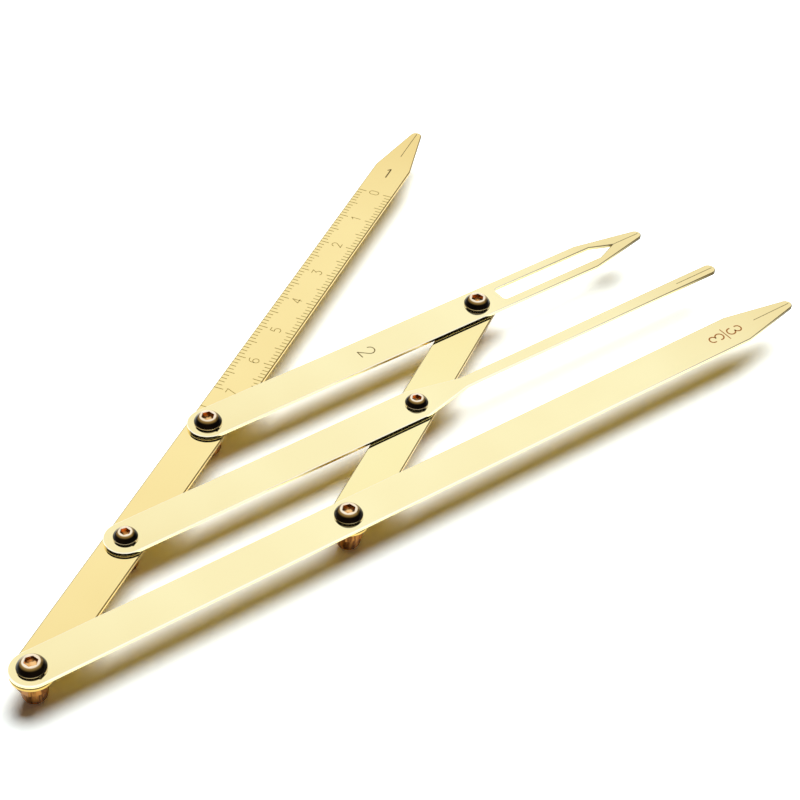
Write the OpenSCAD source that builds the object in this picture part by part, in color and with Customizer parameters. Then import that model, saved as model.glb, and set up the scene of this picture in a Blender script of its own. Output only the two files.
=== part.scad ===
// Golden ratio caliper: five flat bars on six screw pivots, moving together as one parallelogram.
// Four tips stay on one line and always divide it in the same proportion.
// The part stands on its dome nuts at z = 0, with its pivot end towards -Y and its tips towards +Y.

/* [Arms] */
// Length of the two outer arms, from their common pivot to the tip
arm_l = 170; // [140:1:220]
// Width of every bar
bar_w = 7.8; // [6.5:0.1:9.5]
// Thickness of every bar
bar_t = 0.7; // [0.4:0.1:1.2]
// Angle between the outer arms as the part is drawn
open_angle = 32; // [24:1:60]
// Distance from each arm pivot to the link bar's pivot on the same bar
link_reach = 62.5; // [45:0.5:75]

/* [Tips] */
// Length over which a bar narrows to its tip
tip_taper = 14.5; // [10:0.5:18]
// Radius of the rounded tip
tip_r = 1.2; // [0.8:0.1:1.6]
// Gap between a tip and the end of its centre line
line_tip_gap = 0.6; // [0.4:0.1:1.5]
// Length of the centre line at a tip
line_l = 9.5; // [5:0.5:12]

/* [Slotted pointer] */
// Width of the sighting slot
slot_w = 3.8; // [2:0.1:4.4]
// Distance from the link pivot to the near end of the slot
slot_start = 5.6; // [4.5:0.1:9]
// Distance from the point of the slot to the tip
slot_tip_gap = 7.4; // [6:0.1:12]
// Length of the slot's pointed end
slot_point_l = 4.8; // [3:0.1:7]
// Corner radius at the slot's near end
slot_corner_r = 0.8; // [0.3:0.1:1]

/* [Thin pointer] */
// Width of the thin pointer beyond its shoulder
thin_w = 2.7; // [2:0.1:4]
// Length of the shoulder that narrows the thin pointer, from its link pivot
thin_shoulder_l = 11; // [6:0.5:18]

/* [Ruler] */
// Distance from the ruler arm's tip to the zero line
zero_tip_gap = 24.8; // [20:0.1:30]
// Distance between neighbouring lines
line_pitch = 1; // [0.5:0.1:1.2]
// Number of divisions on the ruler
divisions = 70; // [20:5:75]
// Length of an ordinary ruler line
short_line_l = 1.1; // [0.6:0.1:1.5]
// Length of every fifth ruler line
long_line_l = 1.8; // [1.2:0.1:2.4]
// Distance from the slotted pointer's pivot to the single index line on the outer edge
index_gap = 4.5; // [2:0.1:8]
// Width of an engraved line
line_w = 0.14; // [0.1:0.02:0.3]
// Depth of an engraved line
line_depth = 0.08; // [0.05:0.01:0.2]

/* [Large screws] */
// Shank diameter of the screws at the four corners of the parallelogram
large_shank_d = 2.5; // [2:0.1:3]
// Head diameter
large_head_d = 5.2; // [4.6:0.1:6]
// Head height
large_head_h = 1.7; // [1.5:0.1:2.4]
// Diameter of the flat on top of the head
large_flat_d = 2.9; // [2.7:0.1:3.4]
// Width across the flats of the socket
large_socket_af = 2.1; // [1.3:0.1:2.2]
// Width across the flats of the dome nut
large_nut_af = 5.4; // [4.2:0.1:6.2]

/* [Small screws] */
// Shank diameter of the two screws on the thin pointer
small_shank_d = 2; // [1.6:0.1:2.4]
// Head diameter
small_head_d = 4.4; // [3.8:0.1:5]
// Head height
small_head_h = 1.5; // [1.4:0.1:2.2]
// Diameter of the flat on top of the head
small_flat_d = 2.3; // [2.1:0.1:2.9]
// Width across the flats of the socket
small_socket_af = 1.6; // [1.2:0.1:1.7]
// Width across the flats of the dome nut
small_nut_af = 4.8; // [3.6:0.1:5.6]

/* [Screws and nuts] */
// Height of the straight rim at the foot of a screw head
rim_h = 0.35; // [0.2:0.05:0.8]
// Depth of a hex socket
socket_depth = 1; // [0.7:0.1:1.2]
// Height of a dome nut
nut_h = 6.3; // [5:0.1:8]
// Height of a dome nut's hexagon
nut_hex_h = 2.4; // [1.6:0.1:2.6]
// Height of the bevel on a dome nut's hexagon
nut_bevel_h = 0.3; // [0.2:0.1:0.5]
// How much narrower a dome nut is at its dome than at its hexagon, on the radius
nut_taper = 0.2; // [0.05:0.05:0.4]
// Depth to which a screw goes into its dome nut
screw_grip = 3.2; // [2:0.1:3.5]
// Room left in the dome nut past the end of the screw
nut_end_room = 0.3; // [0.2:0.1:0.4]

/* [Washers and clearances] */
// Thickness of the washers between the two layers of bars
washer_t = 0.1; // [0.05:0.05:0.5]
// Width of a washer's ring
washer_ring = 1.4; // [0.8:0.1:1.5]
// Radial clearance of a screw's shank in a bar or a washer
pivot_clearance = 0.05; // [0.02:0.01:0.1]
// Radial clearance of a screw's shank in its nut
nut_clearance = 0.02; // [0.01:0.01:0.05]

/* [Hidden] */
$fn = 64;
HEX = 6;
// How far a cut runs past the face that it opens
cut_over = 0.5;
// How far a bar's sides run inside the circle of its rounded tip
tip_blend = 0.01;
bright_gold = "#f3e3a6";
deep_gold = "#efd68c";
screw_gold = "#b8893f";
rose_gold = "#b87443";
washer_tone = "#d9c07a";

// The third tip divides the line between the outer tips by the golden ratio.
golden_ratio = (1 + sqrt(5)) / 2;
slotted_pivot = arm_l * (1 - 1 / golden_ratio);
thin_pivot = slotted_pivot / 2;
slotted_l = arm_l - slotted_pivot;
thin_l = arm_l - thin_pivot;

// Two layers of bars stand on the nuts, with the washers between them.
lower_z = nut_h;
upper_z = lower_z + bar_t + washer_t;
head_z = upper_z + bar_t;
shank_l = head_z - lower_z + screw_grip;

// Where the bars point and where the pivots are, with the origin below the middle of the part.
ruler_dir = 90 + open_angle / 2;
arm_dir = 90 - open_angle / 2;
tips_y = (arm_l - tip_r) * cos(open_angle / 2) + tip_r;
p1 = [0, (bar_w / 2 - tips_y) / 2];
p2 = p1 + along(ruler_dir, slotted_pivot);
p3 = p1 + along(ruler_dir, thin_pivot);
q1 = p1 + along(arm_dir, link_reach);
q2 = p2 + along(arm_dir, link_reach);
q3 = p3 + along(arm_dir, link_reach);

large_hole_d = large_shank_d + 2 * pivot_clearance;
small_hole_d = small_shank_d + 2 * pivot_clearance;

function along(dir, distance) = distance * [cos(dir), sin(dir)];

// Point where a line from a shoulder touches the tip's circle
function tip_tangent(shoulder, centre, r) =
    let (v = shoulder - centre)
    let (angle = atan2(v.y, v.x) - acos(r / norm(v)))
    centre + along(angle, r);

function mirrored(p) = [p.x, -p.y];

// Move a bar, drawn along +X from its own pivot, to its place
module place(pivot, dir, z) {
    translate([pivot.x, pivot.y, z])
        rotate([0, 0, dir])
            children();
}

// Outline of a bar with one round end and one narrowed tip, l long from pivot to tip
module tipped_outline(l) {
    shoulder = [l - tip_taper, bar_w / 2];
    centre = [l - tip_r, 0];
    touch = tip_tangent(shoulder, centre, tip_r - tip_blend);
    circle(d = bar_w);
    polygon([
        [0, -bar_w / 2], mirrored(shoulder), mirrored(touch), touch, shoulder, [0, bar_w / 2]
    ]);
    translate(centre)
        circle(r = tip_r);
}

// Outline of the thin pointer: full width to its link pivot, then a shoulder and a narrow bar
module thin_outline() {
    shoulder_end = link_reach + thin_shoulder_l;
    centre = [thin_l - thin_w / 2, 0];
    side = [
        [0, -bar_w / 2], [link_reach, -bar_w / 2], [shoulder_end, -thin_w / 2], [centre.x, -thin_w / 2]
    ];
    circle(d = bar_w);
    polygon(concat(side, [for (i = [len(side) - 1:-1:0]) mirrored(side[i])]));
    translate(centre)
        circle(d = thin_w + 2 * tip_blend);
}

// Outline of the sighting slot: rounded corners at its near end, a point at its far end
module slot_outline() {
    near = link_reach + slot_start;
    point = slotted_l - slot_tip_gap;
    half = slot_w / 2;
    r = slot_corner_r;
    polygon([
        [near, r - half], [near + r, -half], [point - slot_point_l, -half], [point, 0],
        [point - slot_point_l, half], [near + r, half], [near, half - r]
    ]);
    for (side = [-1, 1])
        translate([near + r, side * (half - r)])
            circle(r = r);
}

// Round holes through a bar at the given distances from its pivot
module pivot_holes(distances, d) {
    for (x = distances)
        translate([x, 0, -cut_over])
            cylinder(d = d, h = bar_t + 2 * cut_over);
}

// Engraved line on a bar's top face, from one point to another along X or Y
module engraved_line(x, y, size_x, size_y) {
    translate([x, y, bar_t - line_depth])
        cube([size_x, size_y, line_depth + cut_over]);
}

// Centre line at the tip of a bar that is l long
module tip_line(l) {
    engraved_line(l - line_tip_gap - line_l, -line_w / 2, line_l, line_w);
}

// Graduations along both edges of the ruler arm
module graduations() {
    zero = arm_l - zero_tip_gap;
    for (i = [0:divisions]) {
        reach = i % 5 == 0 ? long_line_l : short_line_l;
        x = zero - i * line_pitch - line_w / 2;
        engraved_line(x, bar_w / 2 - reach, line_w, reach + cut_over);
        engraved_line(x, -bar_w / 2 - cut_over, line_w, reach + cut_over);
    }
}

// Single line on the outer edge of the ruler arm, beside the slotted pointer's pivot
module index_line() {
    x = slotted_pivot + index_gap - line_w / 2;
    engraved_line(x, bar_w / 2 - short_line_l, line_w, short_line_l + cut_over);
}

module ruler_arm() {
    color(deep_gold)
        place(p1, ruler_dir, lower_z)
            difference() {
                linear_extrude(bar_t)
                    tipped_outline(arm_l);
                pivot_holes([0, slotted_pivot], large_hole_d);
                pivot_holes([thin_pivot], small_hole_d);
                tip_line(arm_l);
                graduations();
                index_line();
            }
}

module long_arm() {
    color(bright_gold)
        place(p1, arm_dir, upper_z)
            difference() {
                linear_extrude(bar_t)
                    tipped_outline(arm_l);
                pivot_holes([0, link_reach], large_hole_d);
                tip_line(arm_l);
            }
}

module slotted_pointer() {
    line_from = slotted_l - slot_tip_gap - cut_over;
    line_to = slotted_l - line_tip_gap;
    color(bright_gold)
        place(p2, arm_dir, upper_z)
            difference() {
                linear_extrude(bar_t)
                    difference() {
                        tipped_outline(slotted_l);
                        slot_outline();
                    }
                pivot_holes([0, link_reach], large_hole_d);
                engraved_line(line_from, -line_w / 2, line_to - line_from, line_w);
            }
}

module thin_pointer() {
    color(bright_gold)
        place(p3, arm_dir, upper_z)
            difference() {
                linear_extrude(bar_t)
                    thin_outline();
                pivot_holes([0, link_reach], small_hole_d);
                tip_line(thin_l);
            }
}

module link_bar() {
    color(deep_gold)
        place(q1, ruler_dir, lower_z)
            difference() {
                linear_extrude(bar_t) {
                    circle(d = bar_w);
                    translate([0, -bar_w / 2])
                        square([slotted_pivot, bar_w]);
                    translate([slotted_pivot, 0])
                        circle(d = bar_w);
                }
                pivot_holes([0, slotted_pivot], large_hole_d);
                pivot_holes([thin_pivot], small_hole_d);
            }
}

// Button-head screw with a hex socket, its head seated at z = 0
module button_screw(shank_d, head_d, head_h, flat_d, socket_af) {
    dome_h = head_h - rim_h;
    dome_z = (pow(flat_d / 2, 2) + pow(head_h, 2) - pow(head_d / 2, 2) - pow(rim_h, 2)) / (2 * dome_h);
    dome_r = sqrt(pow(head_d / 2, 2) + pow(rim_h - dome_z, 2));
    color(screw_gold)
        difference() {
            union() {
                cylinder(d = head_d, h = rim_h);
                intersection() {
                    translate([0, 0, dome_z])
                        sphere(r = dome_r);
                    translate([0, 0, rim_h])
                        cylinder(d = head_d + 1, h = dome_h);
                }
                translate([0, 0, -shank_l])
                    cylinder(d = shank_d, h = shank_l);
            }
            translate([0, 0, head_h - socket_depth])
                cylinder(d = socket_af / cos(180 / HEX), h = socket_depth + cut_over, $fn = HEX);
        }
}

// Dome nut with its dome down at z = 0 and its open face up
module dome_nut(shank_d, af) {
    corner_d = af / cos(180 / HEX);
    hex_z = nut_h - nut_hex_h;
    bore_z = nut_h - screw_grip - nut_end_room;
    collar_r = af / 2 - nut_bevel_h / 2;
    dome_r = collar_r - nut_taper;
    color(rose_gold)
        difference() {
            union() {
                translate([0, 0, dome_r])
                    sphere(r = dome_r);
                translate([0, 0, dome_r])
                    cylinder(r1 = dome_r, r2 = collar_r, h = nut_h - dome_r);
                translate([0, 0, hex_z + nut_bevel_h])
                    cylinder(d = corner_d, h = nut_hex_h - nut_bevel_h, $fn = HEX);
                intersection() {
                    translate([0, 0, hex_z])
                        cylinder(d = corner_d, h = nut_bevel_h, $fn = HEX);
                    translate([0, 0, hex_z])
                        cylinder(d1 = af, d2 = corner_d, h = nut_bevel_h);
                }
            }
            translate([0, 0, bore_z])
                cylinder(d = shank_d + 2 * nut_clearance, h = nut_h - bore_z + cut_over);
        }
}

module washer(hole_d) {
    color(washer_tone)
        difference() {
            cylinder(d = hole_d + 2 * washer_ring, h = washer_t);
            translate([0, 0, -cut_over])
                cylinder(d = hole_d, h = washer_t + 2 * cut_over);
        }
}

module large_screw_at(pivot) {
    translate([pivot.x, pivot.y, head_z])
        button_screw(large_shank_d, large_head_d, large_head_h, large_flat_d, large_socket_af);
}

module small_screw_at(pivot) {
    translate([pivot.x, pivot.y, head_z])
        button_screw(small_shank_d, small_head_d, small_head_h, small_flat_d, small_socket_af);
}

module large_nut_at(pivot) {
    translate([pivot.x, pivot.y, 0])
        dome_nut(large_shank_d, large_nut_af);
}

module small_nut_at(pivot) {
    translate([pivot.x, pivot.y, 0])
        dome_nut(small_shank_d, small_nut_af);
}

module large_washer_at(pivot) {
    translate([pivot.x, pivot.y, lower_z + bar_t])
        washer(large_hole_d);
}

module small_washer_at(pivot) {
    translate([pivot.x, pivot.y, lower_z + bar_t])
        washer(small_hole_d);
}

ruler_arm();
long_arm();
slotted_pointer();
thin_pointer();
link_bar();
large_screw_at(p1);  // screw_p1
large_screw_at(p2);  // screw_p2
small_screw_at(p3);  // screw_p3
large_screw_at(q1);  // screw_q1
large_screw_at(q2);  // screw_q2
small_screw_at(q3);  // screw_q3
large_nut_at(p1);  // nut_p1
large_nut_at(p2);  // nut_p2
small_nut_at(p3);  // nut_p3
large_nut_at(q1);  // nut_q1
large_nut_at(q2);  // nut_q2
small_nut_at(q3);  // nut_q3
large_washer_at(p1);  // washer_p1
large_washer_at(p2);  // washer_p2
small_washer_at(p3);  // washer_p3
large_washer_at(q1);  // washer_q1
large_washer_at(q2);  // washer_q2
small_washer_at(q3);  // washer_q3
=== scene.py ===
"""Looks of the golden ratio caliper: polished bars, screws, dome nuts, engraved marks and the studio.

Pieces are modelled in millimetres, lying along +X from their own pivot, and are set down in metres
round the frame that is packed from part.scad.
"""

import math

import bmesh
import bpy
from mathutils import Matrix, Vector


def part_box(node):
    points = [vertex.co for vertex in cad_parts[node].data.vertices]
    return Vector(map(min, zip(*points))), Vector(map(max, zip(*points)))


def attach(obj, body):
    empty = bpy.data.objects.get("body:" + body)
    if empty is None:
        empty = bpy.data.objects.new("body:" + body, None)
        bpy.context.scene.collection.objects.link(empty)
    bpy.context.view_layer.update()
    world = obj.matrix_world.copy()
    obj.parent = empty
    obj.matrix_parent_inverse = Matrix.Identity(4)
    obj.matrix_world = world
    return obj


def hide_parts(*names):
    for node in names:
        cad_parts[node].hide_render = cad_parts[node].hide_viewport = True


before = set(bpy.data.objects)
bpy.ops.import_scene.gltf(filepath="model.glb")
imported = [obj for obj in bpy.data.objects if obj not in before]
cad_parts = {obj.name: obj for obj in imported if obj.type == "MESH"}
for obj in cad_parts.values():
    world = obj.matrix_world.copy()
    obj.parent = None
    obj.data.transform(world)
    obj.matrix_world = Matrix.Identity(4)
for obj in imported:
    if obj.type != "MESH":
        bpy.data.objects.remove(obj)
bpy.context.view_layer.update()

MM = 0.001

# Sizes that the frame gives

LARGE_PIVOTS = ("p1", "p2", "q1", "q2")
SMALL_PIVOTS = ("p3", "q3")


def box_mm(node):
    """Lowest and highest corner of a frame node, in millimetres."""
    return [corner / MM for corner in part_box(node)]


def span_mm(node):
    """Size of a frame node along X, Y and Z, in millimetres."""
    low, high = box_mm(node)
    return high - low


def axis_mm(node):
    """Middle of a frame node, in millimetres."""
    low, high = box_mm(node)
    return (low + high) / 2


pivot = {key: axis_mm("screw_" + key) for key in LARGE_PIVOTS + SMALL_PIVOTS}
ruler_run = (pivot["p2"] - pivot["p1"]).xy
arm_run = (pivot["q1"] - pivot["p1"]).xy
ruler_heading = math.atan2(ruler_run.y, ruler_run.x)
arm_heading = math.atan2(arm_run.y, arm_run.x)
slotted_pivot = ruler_run.length
link_reach = arm_run.length
link_l = (pivot["q2"] - pivot["q1"]).xy.length
lower_bars = box_mm("ruler_arm")
upper_bars = box_mm("long_arm")
bar_t = span_mm("ruler_arm").z
bar_w = span_mm("link_bar").x - abs(pivot["q2"].x - pivot["q1"].x)

# Outlines of the bars, in millimetres

TIP_TAPER = 14.5
TIP_R = 1.2
THIN_W = 2.7
THIN_SHOULDER_L = 11.0
SLOT_W = 3.8
SLOT_START = 5.6
SLOT_TIP_GAP = 7.4
SLOT_POINT_L = 4.8
SLOT_CORNER_R = 0.8
EDGE_R = {"upper": (0.16, 0.09), "lower": (0.18, 0.1)}
EDGE_STEPS = 4
# Lengths along a bar over which its painted shading and its painted dark tip edges and sides fade in
TIP_FADE = 34.0
ROOT_FADE = 30.0
EDGE_FADE = 52.0
FLANK_FADE = 18.0
HOLE_ROOM = 0.05
ROUND_STEPS = 48
CORNER_STEPS = 6


def bar_length(node, start, tip_r):
    """Length of a bar from its own pivot to its tip, from the frame's box."""
    reach = box_mm(node)[1].y - start.y - tip_r
    return reach / math.sin(arm_heading) + tip_r


arm_l = bar_length("long_arm", pivot["p1"], TIP_R)
slotted_l = bar_length("slotted_pointer", pivot["p2"], TIP_R)
thin_l = bar_length("thin_pointer", pivot["p3"], THIN_W / 2)

# Engraved marks, in millimetres

LINE_W = 0.14
DIVISION_W = 0.19
LINE_PROUD = 0.004
LINE_DEPTH = 0.06
TIP_LINE_L = 9.5
TIP_LINE_GAP = 0.6
ZERO_TIP_GAP = 24.8
DIVISIONS = 70
SHORT_LINE_L = 1.35
LONG_LINE_L = 2.0
INDEX_GAP = 4.5
FIGURE_H = 2.0
FIGURE_NIB = 0.17
FIGURE_ACROSS = 0.15
LABEL_H = 3.3
LABEL_NIB = 0.22
BOLD_NIB = 0.3
RULER_LABEL_AT = 153.0, 0.24
SLOTTED_LABEL_AT = 35.95, 0.22
ARM_LABEL_ALONG = 149.95, 154.6
ARM_LABEL_ACROSS = -0.1
ARM_STROKE_AT = 152.25, 1.58
ARM_STROKE_L = 3.35

# Screws, nuts and washers, in millimetres; the dome's sweep and the creases in degrees

RIM_H = 0.35
SEAT_EDGE_H = 0.18
SEAT_SOFT = 0.02
FLAT_SOFT = 0.06
FLAT_DROP = 0.015
SHANK_BEVEL = 0.2
SOCKET_DEPTH = 1.0
SOCKET_LIP = 0.08
SOCKET_BEVEL = 0.15
SOCKET_CONE = 0.12
NUT_HEX_H = 2.4
NUT_BORE_L = 3.5
NUT_BORE_ROOM = 0.02
NUT_MOUTH_BEVEL = 0.15
NUT_BEVEL_H = 0.3
NUT_BEVEL_ABOVE = 0.4
NUT_FACE_SOFT = 0.05
NUT_HEX_SOFT = 0.03
NUT_EDGE_SOFT = 0.02
NUT_NECK_SOFT = 0.04
NUT_NECK_DROP = 0.05
NUT_TAPER = 0.2
DOME_SWEEP = 88
HEX_RUNS = 12
DOME_STEPS = 10
TURNED_CREASE = 24
WASHER_CREASE = 30
WASHER_WELD = 0.0001
PLATE_CREASE = 9
FLAT_D = {"large": 2.9, "small": 2.3}
SOCKET_AF = {"large": 2.1, "small": 1.6}


def srgb(red, green, blue):
    """A colour picked on screen, 0 to 255, as the linear colour that a socket takes."""
    def linear(level):
        level /= 255
        return level / 12.92 if level <= 0.04045 else ((level + 0.055) / 1.055) ** 2.4
    return linear(red), linear(green), linear(blue), 1.0


class Wire:
    """A shader socket used as a value: sums and products of wires add their Math nodes."""

    def __init__(self, tree, socket=None):
        self.tree = tree
        self.socket = socket

    def make(self, kind, settings, sockets, output=0):
        """Add a node: its settings come first, then the values or wires of its sockets."""
        node = self.tree.nodes.new(kind)
        for name, value in settings.items():
            setattr(node, name, value)
        for key, value in sockets.items():
            if isinstance(value, Wire):
                self.tree.links.new(value.socket, node.inputs[key])
            else:
                node.inputs[key].default_value = value
        return Wire(self.tree, node.outputs[output] if node.outputs else None)

    def sum_up(self, operation, first, second):
        return self.make("ShaderNodeMath", {"operation": operation}, {0: first, 1: second})

    def __add__(self, other):
        return self.sum_up("ADD", self, other)

    def __radd__(self, other):
        return self.sum_up("ADD", other, self)

    def __sub__(self, other):
        return self.sum_up("SUBTRACT", self, other)

    def __rsub__(self, other):
        return self.sum_up("SUBTRACT", other, self)

    def __mul__(self, other):
        return self.sum_up("MULTIPLY", self, other)

    def __rmul__(self, other):
        return self.sum_up("MULTIPLY", other, self)

    def rise(self, low, high):
        """0 below low, 1 above high, and a smooth rise between."""
        return self.make(
            "ShaderNodeMapRange", {"interpolation_type": "SMOOTHSTEP"},
            {"Value": self, "From Min": low, "From Max": high},
        )

    def blend(self, first, second):
        """The first colour where this wire is 0, the second where it is 1."""
        return self.make("ShaderNodeMix", {"data_type": "RGBA"}, {0: self, 6: first, 7: second}, 2)

    def noise(self, place, scale, detail=2.0):
        return self.make(
            "ShaderNodeTexNoise", {}, {"Vector": place, "Scale": scale, "Detail": detail}, "Fac"
        )

    def place(self):
        return self.make("ShaderNodeTexCoord", {}, {}, "Object")

    def bump(self, height, strength, depth):
        return self.make(
            "ShaderNodeBump", {}, {"Height": height, "Strength": strength, "Distance": depth}
        )


def finish(name, recipe):
    """A material whose Principled sockets come from a recipe."""
    made = bpy.data.materials.new(name)
    made.use_nodes = True
    made.node_tree.nodes.clear()
    wire = Wire(made.node_tree)
    shader = wire.make("ShaderNodeBsdfPrincipled", {}, recipe(wire))
    wire.make("ShaderNodeOutputMaterial", {}, {"Surface": shader})
    return made


def polished_bar(start, heading, length, tone, deeper, painted_edge, side, painted_tip_edge):
    """Mirror gold: fine polishing hairs along the bar, faint smudges, and painted light: deeper painted
    shading at the ends, painted highlights or dark reflection lines on the edges, painted shade
    underneath.

    The attribute "slope" is 0 on the top, 1 on the upright sides and -1 underneath.
    """
    def recipe(wire):
        place = wire.make(
            "ShaderNodeMapping", {"vector_type": "TEXTURE"},
            {"Vector": wire.place(), "Location": pivot[start] * MM, "Rotation": (0, 0, heading)},
        )
        stretched = wire.make(
            "ShaderNodeMapping", {"vector_type": "TEXTURE"}, {"Vector": place, "Scale": (40, 0.6, 0.6)}
        )
        run = wire.make("ShaderNodeSeparateXYZ", {}, {"Vector": place}, "X")
        hair = wire.noise(stretched, 6000.0)
        cloud = wire.noise(place, 40.0, 2.0).rise(0.35, 0.65)
        smudge = wire.noise(place, 420.0, 5.0).rise(0.52, 0.75)
        slope = wire.make("ShaderNodeAttribute", {"attribute_name": "slope"}, {}, "Fac")
        # Painted shading: the face turns deeper towards the tip and the pivot end; cloud is a random tone
        tip = run.rise((length - TIP_FADE) * MM, length * MM)
        root = 1 - run.rise(0.0, ROOT_FADE * MM)
        face = (0.25 * cloud + tip + 0.4 * root).blend(tone, deeper)
        # Painted light on the rounded edges: a painted highlight or a painted dark reflection line,
        # turning into a dark painted reflection line towards the tip
        rim = run.rise((length - EDGE_FADE) * MM, length * MM).blend(painted_edge, painted_tip_edge)
        edged = (0.9 * slope.rise(0.02, 0.12)).blend(face, rim)
        # Painted dark reflection on the upright sides near the tip
        flank = run.rise((length - FLANK_FADE) * MM, length * MM).blend(side, painted_tip_edge)
        sided = slope.rise(0.9, 0.98).blend(edged, flank)
        # Painted shade: the underside is painted a deeper gold
        under = 1 - slope.rise(-0.75, -0.25)
        return {
            "Base Color": under.blend(sided, PAINTED_UNDERSIDE_SHADE),
            "Metallic": 1.0,
            "Roughness": 0.025 + smudge * 0.035 + hair * 0.02,
            "Normal": wire.bump(hair, 0.03, 0.00001),
        }
    return recipe


def dome_painted_light(wire):
    """Bronze-gold dome with painted light: a pale painted highlight beside its flat, painted dark
    reflection below, and a fine painted reflection line at its foot.

    The attribute "rise" is 1 at the flat, 0 at the foot of the dome and -1 below its rim.
    """
    place = wire.place()
    cloud = wire.noise(place, 500.0, 3.0).rise(0.35, 0.65)
    rise = wire.make("ShaderNodeAttribute", {"attribute_name": "rise"}, {}, "Fac")
    # Painted dark reflection: near black low on the dome, bronze higher up
    low = rise.rise(0.56, 0.86).blend(srgb(10, 7, 5), srgb(150, 118, 62))
    # Painted reflection: a fine bright line round the foot of the dome
    foot = rise.rise(-0.4, -0.1) * (1 - rise.rise(0.01, 0.06))
    lined = foot.blend(low, srgb(206, 186, 146))
    # Painted highlight: pale beside the flat
    tone = rise.rise(0.85, 0.99).blend(lined, srgb(253, 238, 210))
    return {
        "Base Color": (0.1 * cloud).blend(tone, srgb(60, 42, 24)),
        "Metallic": 1.0,
        "Roughness": 0.07 + cloud * 0.05,
    }


def plated(tone, deeper, rough, scale):
    """Polished plating on a small turned piece, with cloudy tone and fine pits."""
    def recipe(wire):
        place = wire.place()
        cloud = wire.noise(place, scale, 3.0).rise(0.35, 0.65)
        pits = wire.noise(place, scale * 9, 2.0)
        return {
            "Base Color": cloud.blend(tone, deeper),
            "Metallic": 1.0,
            "Roughness": rough + cloud * 0.05 + pits * 0.04,
            "Normal": wire.bump(pits, 0.06, 0.00002),
        }
    return recipe


def streaked_with_painted_reflections(tone, deeper):
    """Plating with upright streaks: painted reflections of the surroundings on a nut's flats."""
    def recipe(wire):
        place = wire.place()
        drawn = wire.make(
            "ShaderNodeMapping", {"vector_type": "TEXTURE"}, {"Vector": place, "Scale": (1, 1, 7)}
        )
        streak = wire.noise(drawn, 1500.0, 3.0).rise(0.38, 0.62)
        pits = wire.noise(place, 4000.0, 2.0)
        return {
            "Base Color": streak.blend(tone, deeper),
            "Metallic": 1.0,
            "Roughness": 0.15 + streak * 0.1 + pits * 0.04,
            "Normal": wire.bump(streak, 0.12, 0.00005),
        }
    return recipe


def engraved(tone, deeper):
    """Dull colour at the bottom of an engraved line."""
    def recipe(wire):
        place = wire.place()
        grit = wire.noise(place, 5000.0, 2.0).rise(0.3, 0.7)
        return {
            "Base Color": grit.blend(tone, deeper),
            "Metallic": 0.0,
            "Roughness": 0.55 + grit * 0.2,
            "Normal": wire.bump(grit, 0.1, 0.00002),
        }
    return recipe


# Deeper gold painted underneath the bars: a painted shade, which also tints gold the light the undersides
# mirror into the shadow below
PAINTED_UNDERSIDE_SHADE = srgb(178, 143, 46)

# Edge tones: the rounded edge, the upright side, and the edges near the tip. The pale edge is a painted
# highlight, the olive edge a painted dark reflection line, and both tip tones are painted dark reflection
# lines
PALE_EDGE = srgb(255, 249, 226), srgb(250, 232, 174), srgb(74, 57, 14)
OLIVE_EDGE = srgb(112, 86, 30), srgb(216, 182, 98), srgb(112, 86, 30)
BRIGHT_GOLD = srgb(255, 245, 194), srgb(243, 225, 166), *PALE_EDGE
DEEP_GOLD = srgb(252, 232, 166), srgb(242, 217, 146), *OLIVE_EDGE
LINK_GOLD = srgb(254, 244, 187), srgb(252, 236, 172), *OLIVE_EDGE
domed = finish("domed", dome_painted_light)
# Ring round the socket and the seat edge: a pale painted highlight on the screw's plating
ring_painted_highlight = finish("ring_painted_highlight", plated(srgb(253, 240, 218), srgb(250, 231, 200), 0.08, 500.0))
# Socket: a deeper copper tone painted into the recess as painted shade
socket_painted_shade = finish("socket_painted_shade", plated(srgb(253, 204, 140), srgb(242, 178, 104), 0.16, 700.0))
# Nuts: two bronze tones in upright streaks, which are painted reflections
bronze = finish("bronze", streaked_with_painted_reflections(srgb(184, 124, 60), srgb(106, 64, 27)))
brass = finish("brass", plated(srgb(226, 186, 104), srgb(204, 160, 84), 0.2, 450.0))
olive_line = finish("olive_line", engraved(srgb(170, 146, 78), srgb(152, 128, 62)))
dark_line = finish("dark_line", engraved(srgb(116, 96, 48), srgb(96, 78, 34)))
brown_line = finish("brown_line", engraved(srgb(170, 108, 46), srgb(148, 90, 36)))

# Modelling


def made_only(geom, kind):
    return [part for part in geom if isinstance(part, kind)]


class Outline:
    """A closed line of straight runs and arcs, drawn counter-clockwise on the XY plane."""

    def __init__(self, bm, x, y):
        self.bm = bm
        self.first = self.last = bm.verts.new((x, y, 0))

    def line(self, x, y):
        end = self.bm.verts.new((x, y, 0))
        self.bm.edges.new((self.last, end))
        self.last = end

    def arc(self, x, y, degrees, steps):
        made = bmesh.ops.spin(
            self.bm, geom=[self.last], cent=(x, y, 0), axis=(0, 0, 1), dvec=(0, 0, 0),
            angle=math.radians(degrees), steps=steps, use_merge=False,
        )
        self.last = made_only(made["geom_last"], bmesh.types.BMVert)[0]

    def close(self):
        self.bm.edges.new((self.last, self.first))


def tipped_outline(bm, length):
    """One round end and one narrowed tip."""
    half = bar_w / 2
    shoulder = Vector((length - TIP_TAPER, half))
    tip = Vector((length - TIP_R, 0))
    run = shoulder - tip
    touch = math.atan2(run.y, run.x) - math.acos(TIP_R / run.length)
    line = Outline(bm, 0, half)
    line.arc(0, 0, 180, ROUND_STEPS)
    line.line(shoulder.x, -half)
    line.line(tip.x + TIP_R * math.cos(touch), -TIP_R * math.sin(touch))
    line.arc(tip.x, tip.y, 2 * math.degrees(touch), CORNER_STEPS * 3)
    line.line(shoulder.x, half)
    line.close()


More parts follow.
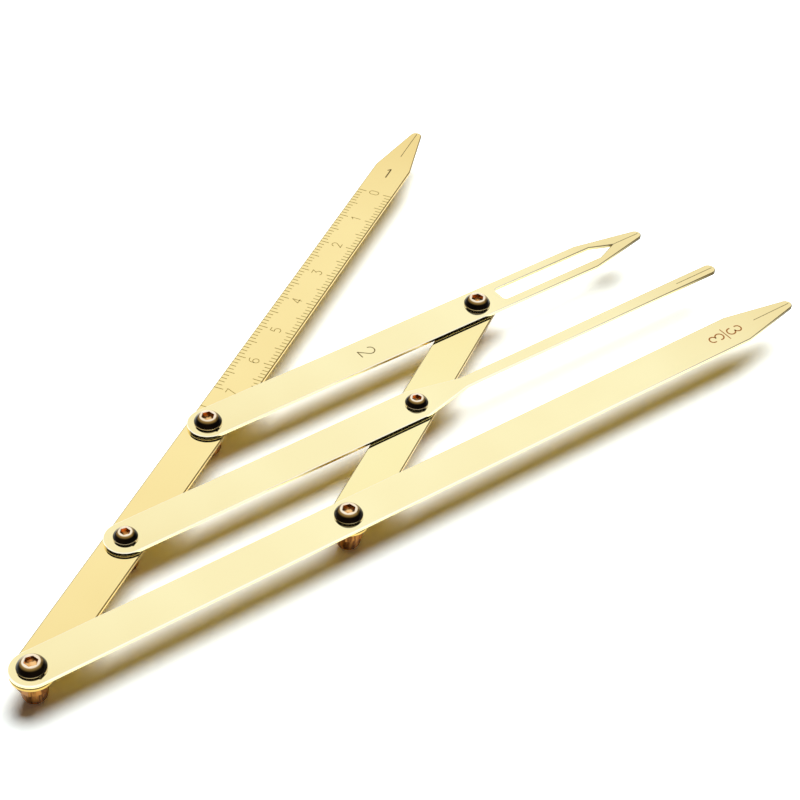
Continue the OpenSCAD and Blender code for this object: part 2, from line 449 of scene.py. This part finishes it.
def thin_outline(bm):
    """Full width to the link pivot, then a shoulder and a narrow bar with a round tip."""
    half, thin = bar_w / 2, THIN_W / 2
    shoulder_end = link_reach + THIN_SHOULDER_L
    line = Outline(bm, 0, half)
    line.arc(0, 0, 180, ROUND_STEPS)
    line.line(link_reach, -half)
    line.line(shoulder_end, -thin)
    line.line(thin_l - thin, -thin)
    line.arc(thin_l - thin, 0, 180, CORNER_STEPS * 4)
    line.line(shoulder_end, thin)
    line.line(link_reach, half)
    line.close()


def slot_outline(bm):
    """Sighting slot: rounded corners at its near end, a point at its far end."""
    half, r = SLOT_W / 2, SLOT_CORNER_R
    near = link_reach + SLOT_START
    point = slotted_l - SLOT_TIP_GAP
    line = Outline(bm, near + r, half)
    line.arc(near + r, half - r, 90, CORNER_STEPS)
    line.line(near, r - half)
    line.arc(near + r, r - half, 90, CORNER_STEPS)
    line.line(point - SLOT_POINT_L, -half)
    line.line(point, 0)
    line.line(point - SLOT_POINT_L, half)
    line.close()


def link_outline(bm):
    """Two round ends."""
    half = bar_w / 2
    line = Outline(bm, 0, half)
    line.arc(0, 0, 180, ROUND_STEPS)
    line.line(link_l, -half)
    line.arc(link_l, 0, 180, ROUND_STEPS)
    line.close()


def pivot_holes(bm, keys, start):
    """Round holes for the screws at the named pivots."""
    for key in keys:
        distance = (pivot[key] - pivot[start]).xy.length
        bmesh.ops.create_circle(
            bm, cap_ends=False, segments=ROUND_STEPS, radius=shank_d[key] / 2 + HOLE_ROOM,
            matrix=Matrix.Translation((distance, 0, 0)),
        )


def shift(bm, faces, climb):
    """Move faces up or down."""
    verts = {vert for face in faces for vert in face.verts}
    bmesh.ops.translate(bm, verts=list(verts), vec=(0, 0, climb))


def plan_turn(edge):
    """Angle between the two faces at an edge, seen from above."""
    first, second = (face.normal.xy for face in edge.link_faces)
    if min(first.length, second.length) < 0.01:
        return 0.0
    return first.angle(second)


def rounded_plate(bm, thickness, edge_r):
    """Fill the outlines in a bmesh and make them a plate, middle at z = 0, with rounded edges.

    The edges have one radius above and one below. The face attribute "slope" runs from 0 on the top
    to 1 on the upright sides, and is -1 underneath.
    """
    slope = bm.faces.layers.float.new("slope")
    filled = bmesh.ops.triangle_fill(bm, edges=bm.edges[:], use_beauty=True, normal=(0, 0, 1))
    under = made_only(filled["geom"], bmesh.types.BMFace)
    top = made_only(bmesh.ops.extrude_face_region(bm, geom=under)["geom"], bmesh.types.BMFace)
    for face in bm.faces:
        face[slope] = 1.0
    for faces, radius, way, level in ((top, edge_r[0], 1, 0.0), (under, edge_r[1], -1, -1.0)):
        shift(bm, faces, way * (thickness / 2 - radius))
        for step in range(EDGE_STEPS):
            low, high = (math.pi / 2 * (step + end) / EDGE_STEPS for end in (0, 1))
            made = bmesh.ops.inset_region(
                bm, faces=faces, thickness=radius * (math.cos(low) - math.cos(high)), depth=0,
                use_boundary=True, use_even_offset=True,
            )
            for face in made["faces"]:
                face[slope] = 1 - (step + 0.5) / EDGE_STEPS
            shift(bm, faces, way * radius * (math.sin(high) - math.sin(low)))
        for face in faces:
            face[slope] = level
    bmesh.ops.recalc_face_normals(bm, faces=bm.faces)
    bm.normal_update()
    for face in bm.faces:
        face.smooth = True
    for edge in bm.edges:
        start, end = edge.verts
        if abs(start.co.z - end.co.z) > 0.001 and plan_turn(edge) > math.radians(PLATE_CREASE):
            edge.smooth = False


def lay(bm, name, matrix, finishes, body):
    """Make a piece of a bmesh: its place goes into its mesh, and it rides on a body of the frame."""
    bmesh.ops.transform(bm, matrix=Matrix.Scale(MM, 4) @ matrix, verts=bm.verts)
    mesh = bpy.data.meshes.new(name)
    bm.to_mesh(mesh)
    bm.free()
    for tone in finishes:
        mesh.materials.append(tone)
    piece = bpy.data.objects.new(name, mesh)
    bpy.context.scene.collection.objects.link(piece)
    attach(piece, body)
    return piece


def bar_place(start, heading, layer):
    """Where a bar, drawn along +X round z = 0, lies in the frame."""
    middle = (layer[0].z + layer[1].z) / 2
    at = Matrix.Translation((pivot[start].x, pivot[start].y, middle))
    return at @ Matrix.Rotation(heading, 4, "Z")


def bar(node, outlines, start, holes, heading, layer, length, tones, body):
    """A polished bar in place of its frame node."""
    bm = bmesh.new()
    for outline in outlines:
        outline(bm)
    pivot_holes(bm, holes, start)
    rounded_plate(bm, bar_t, EDGE_R["lower" if layer is lower_bars else "upper"])
    gold = finish(node + "_gold", polished_bar(start, heading, length, *tones))
    piece = lay(bm, node + "_polished", bar_place(start, heading, layer), [gold], body)
    weighted = piece.modifiers.new("even_flats", "WEIGHTED_NORMAL")
    weighted.keep_sharp = True
    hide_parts(node)


def hex_loop(bm, across_flats, height):
    """The edge of a hexagon, corner on X, cut into short runs that a round ring can follow."""
    bmesh.ops.create_circle(
        bm, cap_ends=False, segments=6, radius=across_flats / 2 / math.cos(math.pi / 6),
        matrix=Matrix.Translation((0, 0, height)) @ Matrix.Rotation(math.pi / 2, 4, "Z"),
    )
    bmesh.ops.subdivide_edges(bm, edges=bm.edges[:], cuts=HEX_RUNS - 1)
    return bm.edges[:]


def ring(bm, loop, radius, height, tone=0, grow=0.0, rise=None):
    """Extrude a loop to its next ring.

    A radius of None keeps the loop's plan, but for its growth. A height may depend on the radius.
    """
    made = bmesh.ops.extrude_edge_only(bm, edges=loop)["geom"]
    verts = set(made_only(made, bmesh.types.BMVert))
    for vert in verts:
        if rise is not None:
            vert[bm.verts.layers.float["rise"]] = rise
        plan = vert.co.xy.normalized() * (vert.co.xy.length + grow if radius is None else radius)
        vert.co = (plan.x, plan.y, height(plan.length) if callable(height) else height)
    for face in made_only(made, bmesh.types.BMFace):
        face.material_index = tone
    return [edge for edge in made_only(made, bmesh.types.BMEdge) if verts.issuperset(edge.verts)]


def close_off(bm, loop, tone=0):
    for face in bmesh.ops.edgeloop_fill(bm, edges=loop)["faces"]:
        face.material_index = tone


def crisp(bm, degrees):
    """Outward faces, smooth but for edges that turn more than the given angle."""
    bmesh.ops.recalc_face_normals(bm, faces=bm.faces)
    bm.normal_update()
    for face in bm.faces:
        face.smooth = True
    for edge in bm.edges:
        edge.smooth = edge.calc_face_angle(0.0) < math.radians(degrees)


def button_screw(key, size):
    """Button head with a hex socket.

    Finishes: 0 dome, with painted light; 1 ring and seat edge, a painted highlight; 2 socket, a painted
    shade.
    """
    low, high = box_mm("screw_" + key)
    seat = upper_bars[1].z
    head_r, head_h = (high.x - low.x) / 2, high.z - seat
    flat_r = FLAT_D[size] / 2
    shank_r, shank_l = shank_d[key] / 2, seat - low.z
    dome_z = (flat_r ** 2 + head_h ** 2 - head_r ** 2 - RIM_H ** 2) / (2 * (head_h - RIM_H))
    dome_r = math.hypot(head_r, RIM_H - dome_z)
    steep = math.atan2(head_r, RIM_H - dome_z)
    shallow = math.atan2(flat_r, head_h - dome_z)

    bm = bmesh.new()
    bm.verts.layers.float.new("rise")
    mouth = hex_loop(bm, SOCKET_AF[size], head_h - SOCKET_LIP)
    loop = ring(bm, mouth, None, head_h, 1, grow=SOCKET_LIP)
    loop = ring(bm, loop, flat_r - FLAT_SOFT, head_h, 1)
    loop = ring(bm, loop, flat_r, head_h - FLAT_DROP, 1, rise=1.0)
    for step in range(1, DOME_STEPS + 1):
        tilt = shallow + (steep - shallow) * step / DOME_STEPS
        height = dome_z + dome_r * math.cos(tilt)
        loop = ring(bm, loop, dome_r * math.sin(tilt), height, rise=1 - step / DOME_STEPS)
    loop = ring(bm, loop, head_r, SEAT_EDGE_H, rise=-1.0)
    loop = ring(bm, loop, head_r - SEAT_SOFT, 0, 1)
    loop = ring(bm, loop, shank_r, 0)
    loop = ring(bm, loop, shank_r, SHANK_BEVEL - shank_l)
    loop = ring(bm, loop, shank_r - SHANK_BEVEL, -shank_l)
    close_off(bm, loop)
    floor = head_h - SOCKET_DEPTH
    loop = ring(bm, mouth, None, floor + SOCKET_BEVEL, 2)
    loop = ring(bm, loop, SOCKET_AF[size] / 2 - SOCKET_BEVEL, floor + SOCKET_CONE, 2)
    loop = ring(bm, loop, SOCKET_CONE, floor, 2)
    close_off(bm, loop, 2)
    crisp(bm, TURNED_CREASE)
    place = Matrix.Translation((pivot[key].x, pivot[key].y, seat))
    piece = lay(bm, f"screw_{key}_turned", place, [domed, ring_painted_highlight, socket_painted_shade], fastener_body[key])
    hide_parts("screw_" + key)


def dome_nut(key):
    """Hex dome nut, dome down."""
    node = "nut_" + key
    size = span_mm(node)
    flat_r, corner_r, nut_h = size.y / 2, size.x / 2, size.z
    hex_z = nut_h - NUT_HEX_H
    collar_r = flat_r - NUT_BEVEL_H / 2
    dome_r = collar_r - NUT_TAPER
    neck_r = dome_r + NUT_TAPER * (hex_z - dome_r) / (nut_h - dome_r)
    bevel = NUT_BEVEL_H / (corner_r - flat_r)
    bore_r = shank_d[key] / 2 + NUT_BORE_ROOM

    bm = bmesh.new()
    middle = hex_loop(bm, 2 * flat_r, nut_h - NUT_HEX_H / 2)
    above = NUT_BEVEL_ABOVE * bevel
    loop = ring(bm, middle, None, lambda r: nut_h - NUT_EDGE_SOFT - above * (r - flat_r))
    loop = ring(bm, loop, flat_r - NUT_FACE_SOFT, nut_h)
    loop = ring(bm, loop, bore_r + NUT_MOUTH_BEVEL, nut_h)
    loop = ring(bm, loop, bore_r, nut_h - NUT_MOUTH_BEVEL)
    loop = ring(bm, loop, bore_r, nut_h - NUT_BORE_L)
    close_off(bm, loop)
    loop = ring(bm, middle, None, lambda r: hex_z + NUT_EDGE_SOFT + bevel * (r - flat_r))
    loop = ring(bm, loop, flat_r - NUT_HEX_SOFT, hex_z)
    loop = ring(bm, loop, neck_r + NUT_NECK_SOFT, hex_z)
    loop = ring(bm, loop, neck_r, hex_z - NUT_NECK_DROP)
    for step in range(DOME_STEPS + 3):
        tilt = math.radians(DOME_SWEEP) * step / (DOME_STEPS + 2)
        loop = ring(bm, loop, dome_r * math.cos(tilt), dome_r - dome_r * math.sin(tilt))
    close_off(bm, loop)
    crisp(bm, TURNED_CREASE)
    base = box_mm(node)[0].z
    place = Matrix.Translation((pivot[key].x, pivot[key].y, base))
    piece = lay(bm, node + "_turned", place, [bronze], fastener_body[key])
    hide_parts(node)


def washer(key):
    """Thin washer with softened edges."""
    node = "washer_" + key
    low, high = box_mm(node)
    outer, thick = (high.x - low.x) / 2, high.z - low.z
    inner, soft = shank_d[key] / 2 + HOLE_ROOM, thick / 4
    corners = [
        (inner + soft, 0), (outer - soft, 0), (outer, soft), (outer, thick - soft),
        (outer - soft, thick), (inner + soft, thick), (inner, thick - soft), (inner, soft),
    ]
    bm = bmesh.new()
    verts = [bm.verts.new((x, 0, z)) for x, z in corners]
    edges = [bm.edges.new((verts[i - 1], verts[i])) for i in range(len(verts))]
    bmesh.ops.spin(
        bm, geom=verts + edges, cent=(0, 0, 0), axis=(0, 0, 1), dvec=(0, 0, 0),
        angle=math.tau, steps=ROUND_STEPS, use_merge=True,
    )
    bmesh.ops.remove_doubles(bm, verts=bm.verts, dist=WASHER_WELD)
    crisp(bm, WASHER_CREASE)
    place = Matrix.Translation((pivot[key].x, pivot[key].y, low.z))
    piece = lay(bm, node + "_turned", place, [brass], fastener_body[key])
    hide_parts(node)


class Pen:
    """Draws flat strokes: a nib, square to its path, is extruded along lines and spun round arcs."""

    def __init__(self, bm, nib):
        self.bm = bm
        self.nib = nib

    def start(self, x, y, degrees):
        self.heading = math.radians(degrees)
        side = Vector((-math.sin(self.heading), math.cos(self.heading), 0)) * self.nib / 2
        at = Vector((x, y, 0))
        self.edge = self.bm.edges.new([self.bm.verts.new(at + side), self.bm.verts.new(at - side)])

    def line(self, distance):
        made = bmesh.ops.extrude_edge_only(self.bm, edges=[self.edge])["geom"]
        verts = set(made_only(made, bmesh.types.BMVert))
        run = Vector((math.cos(self.heading), math.sin(self.heading), 0)) * distance
        bmesh.ops.translate(self.bm, verts=list(verts), vec=run)
        self.edge = next(e for e in made_only(made, bmesh.types.BMEdge) if verts.issuperset(e.verts))

    def arc(self, radius, degrees):
        """Bend to the left, or to the right where the angle is negative."""
        middle = (self.edge.verts[0].co + self.edge.verts[1].co) / 2
        left = Vector((-math.sin(self.heading), math.cos(self.heading), 0))
        made = bmesh.ops.spin(
            self.bm, geom=[self.edge, *self.edge.verts], axis=(0, 0, 1), dvec=(0, 0, 0),
            cent=middle + left * math.copysign(radius, degrees), angle=math.radians(degrees),
            steps=max(3, round(abs(degrees) / 15)), use_merge=False,
        )
        self.edge = made_only(made["geom_last"], bmesh.types.BMEdge)[0]
        self.heading += math.radians(degrees)


# Strokes of the figures on a box 2 high and about 1.2 wide: where the pen starts and heads, then its
# lines (one number) and arcs (radius and degrees)
STROKES = {
    "0": [((0.6, -0.4, 90), [0.8, (0.6, 180), 0.8, (0.6, 180)])],
    "1": [((0.12, -1, 90), [2.0]), ((0.14, 1, 225), [0.8])],
    "2": [((-0.58, 0.42, 90), [(0.58, -222), 1.4]), ((-0.56, -1, 0), [1.16])],
    "3": [((-0.58, 1, 0), [1.1]), ((0.5, 1, -127), [1.0]), ((-0.1, 0.2, 0), [(0.6, -235)])],
    "4": [((0.25, 1, -90), [2.0]), ((0.25, 1, -121), [1.69]), ((-0.62, -0.45, 0), [1.25])],
    "5": [((0.5, 1, 180), [0.95]), ((-0.4, 1, -97), [0.92]), ((-0.43, 0.08, 40), [(0.62, -262)])],
    "6": [((0.6, -0.4, 90), [(0.6, 360)]), ((-0.6, -0.38, 90), [0.68, (0.7, -90), 0.35])],
    "7": [((-0.58, 1, 0), [1.16]), ((0.55, 1, -112), [2.15])],
}
LABEL_ONE = [((0.1, -1, 90), [2.0]), ((0.12, 1, 225), [0.55])]
ROUND_THREE = [((-0.442, 0.369, 110), [(0.47, -290)]), ((0, 0.06, 0), [(0.53, -290)])]
# Ends of one stroke that are this near become one
STROKE_MEET = 0.001


def figure(bm, strokes, x, y, degrees, height, nib):
    """Write one figure with its middle at x, y, turned by the given angle."""
    drawn = bmesh.new()
    pen = Pen(drawn, nib * 2 / height)
    for start, moves in strokes:
        earlier = set(drawn.verts)
        pen.start(*start)
        for move in moves:
            if isinstance(move, tuple):
                pen.arc(*move)
            else:
                pen.line(move)
        own = [vert for vert in drawn.verts if vert not in earlier]
        bmesh.ops.remove_doubles(drawn, verts=own, dist=STROKE_MEET)
    turn = Matrix.Rotation(math.radians(degrees), 4, "Z")
    size = Matrix.Scale(height / 2, 4)
    bmesh.ops.transform(drawn, matrix=Matrix.Translation((x, y, 0)) @ turn @ size, verts=drawn.verts)
    mesh = bpy.data.meshes.new("figure")
    drawn.to_mesh(mesh)
    drawn.free()
    bm.from_mesh(mesh)
    bpy.data.meshes.remove(mesh)


def mark(bm, name, start, heading, layer, tone, body):
    """Sink the strokes in a bmesh into a bar's top face."""
    made = bmesh.ops.extrude_face_region(bm, geom=bm.faces[:])["geom"]
    bmesh.ops.translate(bm, verts=made_only(made, bmesh.types.BMVert), vec=(0, 0, -LINE_DEPTH))
    bmesh.ops.recalc_face_normals(bm, faces=bm.faces)
    top = Matrix.Translation((0, 0, bar_t / 2 + LINE_PROUD))
    lay(bm, name, bar_place(start, heading, layer) @ top, [tone], body)


def line_mark(bm, x, y, degrees, distance, nib=LINE_W):
    pen = Pen(bm, nib)
    pen.start(x, y, degrees)
    pen.line(distance)


def tip_line(name, length, start, heading, layer, body, line_l=TIP_LINE_L):
    """Fine centre line before a bar's tip."""
    bm = bmesh.new()
    line_mark(bm, length - TIP_LINE_GAP - line_l, 0, 0, line_l)
    mark(bm, name, start, heading, layer, dark_line, body)


def ruler_marks():
    """Graduations on both edges, the single index line and the figures of the centimetres."""
    bm = bmesh.new()
    half = bar_w / 2 - EDGE_R["lower"][0] / 2
    zero = arm_l - ZERO_TIP_GAP
    for count in range(DIVISIONS + 1):
        reach = (SHORT_LINE_L if count % 5 else LONG_LINE_L) - EDGE_R["lower"][0] / 2
        line_mark(bm, zero - count, half, -90, reach, DIVISION_W)
        line_mark(bm, zero - count, -half, 90, reach, DIVISION_W)
    line_mark(bm, slotted_pivot + INDEX_GAP, half, -90, SHORT_LINE_L, DIVISION_W)
    mark(bm, "ruler_graduations", "p1", ruler_heading, lower_bars, olive_line, "ruler")
    bm = bmesh.new()
    for digit, strokes in STROKES.items():
        figure(bm, strokes, zero - 10 * int(digit), FIGURE_ACROSS, 0, FIGURE_H, FIGURE_NIB)
    mark(bm, "ruler_figures", "p1", ruler_heading, lower_bars, olive_line, "ruler")
    bm = bmesh.new()
    figure(bm, LABEL_ONE, *RULER_LABEL_AT, -90, LABEL_H, BOLD_NIB)
    mark(bm, "ruler_label", "p1", ruler_heading, lower_bars, dark_line, "ruler")
    tip_line("ruler_tip_line", arm_l, "p1", ruler_heading, lower_bars, "ruler")


def pointer_marks():
    """Labels and tip lines of the long arm and the two pointers."""
    bm = bmesh.new()
    for along, turn in zip(ARM_LABEL_ALONG, (90, -90)):
        figure(bm, ROUND_THREE, along, ARM_LABEL_ACROSS, turn, LABEL_H, BOLD_NIB)
    line_mark(bm, *ARM_STROKE_AT, -90, ARM_STROKE_L, LABEL_NIB)
    mark(bm, "arm_label", "p1", arm_heading, upper_bars, brown_line, "arm")
    tip_line("arm_tip_line", arm_l, "p1", arm_heading, upper_bars, "arm")
    bm = bmesh.new()
    figure(bm, STROKES["2"], *SLOTTED_LABEL_AT, -90, LABEL_H, LABEL_NIB)
    mark(bm, "slotted_label", "p2", arm_heading, upper_bars, dark_line, "slotted")
    slot_line = SLOT_TIP_GAP - TIP_LINE_GAP - EDGE_R["upper"][0]
    tip_line("slotted_tip_line", slotted_l, "p2", arm_heading, upper_bars, "slotted", slot_line)
    tip_line("thin_tip_line", thin_l, "p3", arm_heading, upper_bars, "thin")


# The pieces

SHANK_D = {"large": 2.5, "small": 2.0}
shank_d = {key: SHANK_D["small" if key in SMALL_PIVOTS else "large"] for key in pivot}
fastener_body = {key: "ruler" if key.startswith("p") else "link" for key in pivot}

bar("ruler_arm", [lambda bm: tipped_outline(bm, arm_l)], "p1", ("p1", "p2", "p3"),
    ruler_heading, lower_bars, arm_l, DEEP_GOLD, "ruler")
bar("long_arm", [lambda bm: tipped_outline(bm, arm_l)], "p1", ("p1", "q1"),
    arm_heading, upper_bars, arm_l, BRIGHT_GOLD, "arm")
bar("slotted_pointer", [lambda bm: tipped_outline(bm, slotted_l), slot_outline], "p2", ("p2", "q2"),
    arm_heading, upper_bars, slotted_l, BRIGHT_GOLD, "slotted")
bar("thin_pointer", [thin_outline], "p3", ("p3", "q3"),
    arm_heading, upper_bars, thin_l, BRIGHT_GOLD, "thin")
bar("link_bar", [link_outline], "q1", ("q1", "q2", "q3"),
    ruler_heading, lower_bars, link_l, LINK_GOLD, "link")
for key in pivot:
    button_screw(key, "small" if key in SMALL_PIVOTS else "large")
    dome_nut(key)
    washer(key)
ruler_marks()
pointer_marks()

# The studio


def facing(azimuth, elevation):
    """Direction from the object to a place round it, both angles in degrees, azimuth from +X."""
    turn, lift = math.radians(azimuth), math.radians(elevation)
    return Vector((math.cos(turn) * math.cos(lift), math.sin(turn) * math.cos(lift), math.sin(lift)))


def stage_mesh(bm, name, matrix, tone):
    """A thing of the studio, not of the object."""
    bmesh.ops.transform(bm, matrix=matrix, verts=bm.verts)
    mesh = bpy.data.meshes.new(name)
    bm.to_mesh(mesh)
    bm.free()
    mesh.materials.append(tone)
    thing = bpy.data.objects.new(name, mesh)
    bpy.context.scene.collection.objects.link(thing)


# Angles in degrees, azimuth from +X; places in metres. The dark zones are what polished metal mirrors:
# a band on the camera's side that is met only on a second reflection, and two spots, each with the
# angles at which it starts and is full.

CAMERA_AZIMUTH = -53.687
CAMERA_ELEVATION = 41.303
CAMERA_ROLL = 2.453
CAMERA_DISTANCE = 0.387175
CAMERA_TARGET = Vector((0.004792, 0.010974, 0.007))
CAMERA_LENS = 92.963
KEY_AZIMUTH = 104.0
KEY_ELEVATION = 66.0
KEY_SPREAD = 52.0
KEY_STRENGTH = 3.4
AMBIENT = 0.02
FLOOR_R = 4.0
PAPER_GLOW = (0.655, 0.695, 0.69, 1.0)
DARK_SIDE = (-0.35, -0.2)
DARK_FROM = (16, 24)
DARK_TO = (60, 70)
SIDE_DARK = {(66, 15): (24, 14), (166, 2): (22, 12)}
SIDE_DARK_SHARE = 0.5
DARKEST = 0.995
SECOND_MIRROR = 1.5


def shown_ray(wire):
    """1 for what the camera sees, or sees in metal or glass, and 0 for the light that falls on things."""
    rays = sum(
        wire.make("ShaderNodeLightPath", {}, {}, ray)
        for ray in ("Is Camera Ray", "Is Glossy Ray", "Is Transmission Ray")
    )
    return wire.make("ShaderNodeMath", {"operation": "MINIMUM"}, {0: rays, 1: 1.0})


def paper_floor(name):
    """White paper, hardly mottled; seen or mirrored it is brighter, as paper exposed to pure white."""
    paper = bpy.data.materials.new(name)
    paper.use_nodes = True
    paper.node_tree.nodes.clear()
    wire = Wire(paper.node_tree)
    fibre = wire.noise(wire.place(), 900.0, 3.0)
    tone = fibre.blend(srgb(241, 247, 246), srgb(245, 251, 250))
    sheet = wire.make(
        "ShaderNodeBsdfPrincipled", {},
        {"Base Color": tone, "Roughness": 0.85 + fibre * 0.1, "Specular IOR Level": 0.0},
    )
    glow = shown_ray(wire).blend((0, 0, 0, 1), PAPER_GLOW)
    lift = wire.make("ShaderNodeBsdfDiffuse", {}, {"Color": glow})
    both = wire.make("ShaderNodeAddShader", {}, {0: sheet, 1: lift})
    wire.make("ShaderNodeOutputMaterial", {}, {"Surface": both})
    return paper


floor_shape = bmesh.new()
bmesh.ops.create_circle(floor_shape, cap_ends=True, segments=96, radius=FLOOR_R)
stage_mesh(floor_shape, "paper_floor", Matrix.Identity(4), paper_floor("paper_floor"))

key_lamp = bpy.data.lights.new("key_softbox", "SUN")
key_lamp.energy = KEY_STRENGTH
key_lamp.angle = math.radians(KEY_SPREAD)
key_light = bpy.data.objects.new("key_softbox", key_lamp)
key_light.rotation_euler = facing(KEY_AZIMUTH, KEY_ELEVATION).to_track_quat("Z", "Y").to_euler()
key_light.visible_glossy = False
bpy.context.scene.collection.objects.link(key_light)

world = bpy.data.worlds.new("white_room")
world.use_nodes = True
world.node_tree.nodes.clear()
room = Wire(world.node_tree)
shown = shown_ray(room)
mirrored = room.make("ShaderNodeLightPath", {}, {}, "Is Glossy Ray")
way = room.make("ShaderNodeTexCoord", {}, {}, "Generated")
lift = room.make("ShaderNodeSeparateXYZ", {}, {"Vector": way}, "Z")
front = room.make(
    "ShaderNodeVectorMath", {"operation": "DOT_PRODUCT"},
    {0: way, 1: facing(CAMERA_AZIMUTH, 0)}, "Value",
)
low, high = ([math.sin(math.radians(degrees)) for degrees in edge] for edge in (DARK_FROM, DARK_TO))
twice = room.make(
    "ShaderNodeMath", {"operation": "GREATER_THAN"},
    {0: room.make("ShaderNodeLightPath", {}, {}, "Glossy Depth"), 1: SECOND_MIRROR},
)
near_dark = twice * front.rise(*DARK_SIDE) * lift.rise(*low) * (1 - lift.rise(*high))
side_dark = 0.0
for side, spread in SIDE_DARK.items():
    aside = room.make(
        "ShaderNodeVectorMath", {"operation": "DOT_PRODUCT"}, {0: way, 1: facing(*side)}, "Value"
    )
    side_dark = side_dark + aside.rise(*(math.cos(math.radians(degrees)) for degrees in spread))
shade = room.make(
    "ShaderNodeMath", {"operation": "MINIMUM"}, {0: near_dark + SIDE_DARK_SHARE * side_dark, 1: 1.0}
)
dark = mirrored * shade
walls = room.make(
    "ShaderNodeBackground", {},
    {"Color": (1, 1, 1, 1), "Strength": (AMBIENT + shown * (1 - AMBIENT)) * (1 - DARKEST * dark)},
)
room.make("ShaderNodeOutputWorld", {}, {"Surface": walls})
bpy.context.scene.world = world

back = facing(CAMERA_AZIMUTH, CAMERA_ELEVATION)
right = Vector((-math.sin(math.radians(CAMERA_AZIMUTH)), math.cos(math.radians(CAMERA_AZIMUTH)), 0))
roll = Matrix.Rotation(math.radians(CAMERA_ROLL), 4, "Z")
stand = Matrix((right, back.cross(right), back)).transposed().to_4x4() @ roll
lens = bpy.data.cameras.new("camera")
lens.lens = CAMERA_LENS
lens.sensor_width = 36.0
lens.clip_start = 0.01
camera = bpy.data.objects.new("camera", lens)
camera.matrix_world = Matrix.Translation(CAMERA_TARGET + back * CAMERA_DISTANCE) @ stand
bpy.context.scene.collection.objects.link(camera)
bpy.context.scene.camera = camera
bpy.context.scene.view_settings.view_transform = "Standard"
